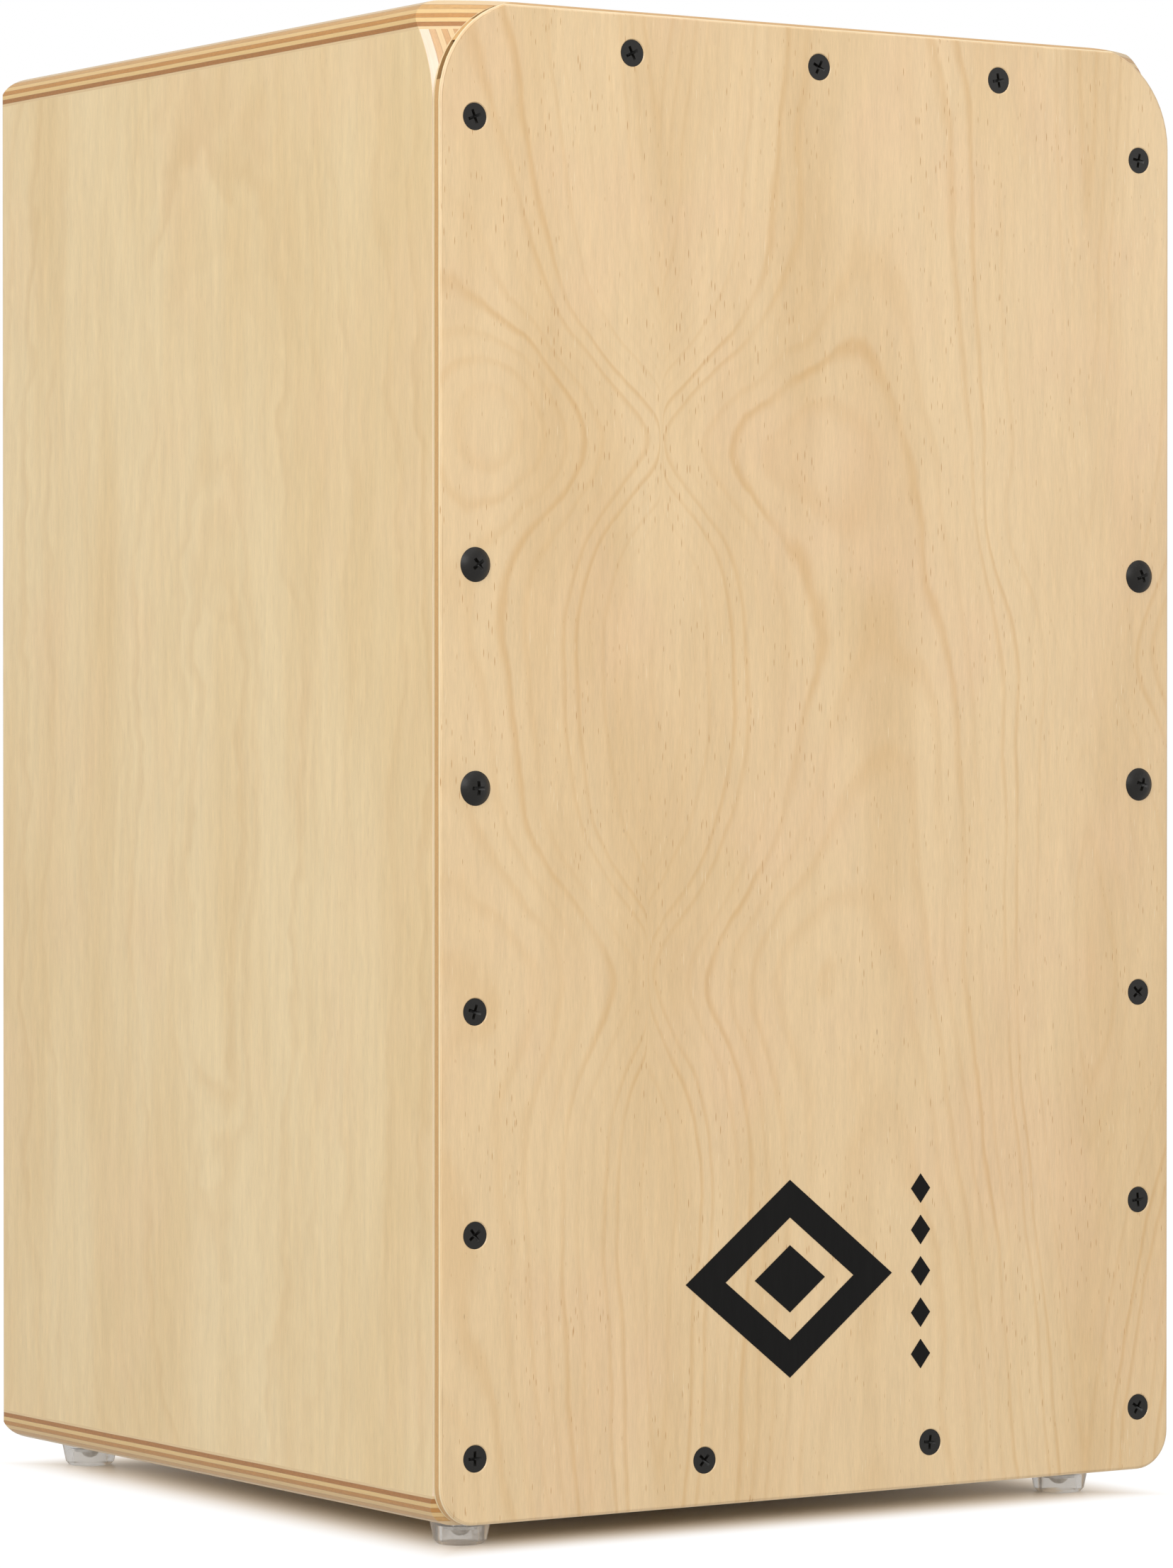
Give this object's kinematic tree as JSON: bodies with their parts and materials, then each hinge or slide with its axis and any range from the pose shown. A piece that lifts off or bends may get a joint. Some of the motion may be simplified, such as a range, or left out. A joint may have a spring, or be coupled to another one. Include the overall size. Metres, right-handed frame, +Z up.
{
  "type": "cajon",
  "caption": "Wooden box drum to sit on, with a thin screwed front plate, rear sound port, V snare strings on thumb-nut tensioners and clear feet.",
  "frame": {"origin": "on the floor, under the middle of the box", "axes": "+Z up; the front plate faces -Y and the sound port +Y; +X is to the right of someone facing the front plate"},
  "size_m": [0.298, 0.3044, 0.5015],
  "materials": {
    "birch_plywood": "clear satin lacquer over pale birch veneer, ply lines on the edges",
    "front_veneer": "clear satin lacquer over flamed birch veneer",
    "pine": "bare planed pine",
    "beech": "bare planed beech",
    "black_screws": "black phosphate, low sheen",
    "zinc_steel": "bright zinc plate",
    "string_steel": "plain wire",
    "nut_brass": "turned and knurled",
    "clear_feet": "clear soft plastic",
    "black_print": "flat black print"
  },
  "bodies": {
    "box": {"left_panel": "birch_plywood", "right_panel": "birch_plywood", "top_panel": "birch_plywood", "bottom_panel": "birch_plywood", "back_panel": "birch_plywood", "front_plate": "front_veneer", "front_batten_left": "pine", "front_batten_right": "pine", "front_batten_top": "pine", "front_batten_bottom": "pine", "rear_batten_left": "pine", "rear_batten_right": "pine", "rear_batten_top": "pine", "rear_batten_bottom": "pine", "upper_string_bar": "beech", "lower_string_bar": "beech", "front_flat_screws": "black_screws", "front_pan_screws": "black_screws", "back_panel_screws": "black_screws", "string_bar_screws": "black_screws", "string_anchor_screws": "zinc_steel", "thumb_nut_washers": "zinc_steel", "foot_screws": "zinc_steel", "foot_washers": "zinc_steel", "snare_string_left": "string_steel", "snare_string_right": "string_steel", "foot_front_left": "clear_feet", "foot_front_right": "clear_feet", "foot_rear_left": "clear_feet", "foot_rear_right": "clear_feet", "front_emblem": "black_print"},
    "left_nut": {"thumb_nut_left": "nut_brass"},
    "right_nut": {"thumb_nut_right": "nut_brass"},
    "left_eye": {"eye_bolt_left": "zinc_steel"},
    "right_eye": {"eye_bolt_right": "zinc_steel"}
  },
  "joints": [
    {"name": "left_nut_turn", "type": "hinge", "parent": "box", "child": "left_nut", "pos_m": [-0.045, -0.1335, 0.06], "axis": [0, 0, 1], "range_deg": [-1800, 720]},
    {"name": "left_eye_slide", "type": "slide", "parent": "box", "child": "left_eye", "axis": [0, 0, -1], "range_m": [-0.00402, 0.00162], "deforming": ["snare_string_left"]},
    {"name": "right_nut_turn", "type": "hinge", "parent": "box", "child": "right_nut", "pos_m": [0.045, -0.1335, 0.06], "axis": [0, 0, 1], "range_deg": [-1800, 720]},
    {"name": "right_eye_slide", "type": "slide", "parent": "box", "child": "right_eye", "axis": [0, 0, -1], "range_m": [-0.00402, 0.00162], "deforming": ["snare_string_right"]}
  ],
  "couplings": [
    {"joint": "left_eye_slide", "follows": "left_nut_turn", "m_per_rad": 0.00012732},
    {"joint": "right_eye_slide", "follows": "right_nut_turn", "m_per_rad": 0.00012732}
  ]
}
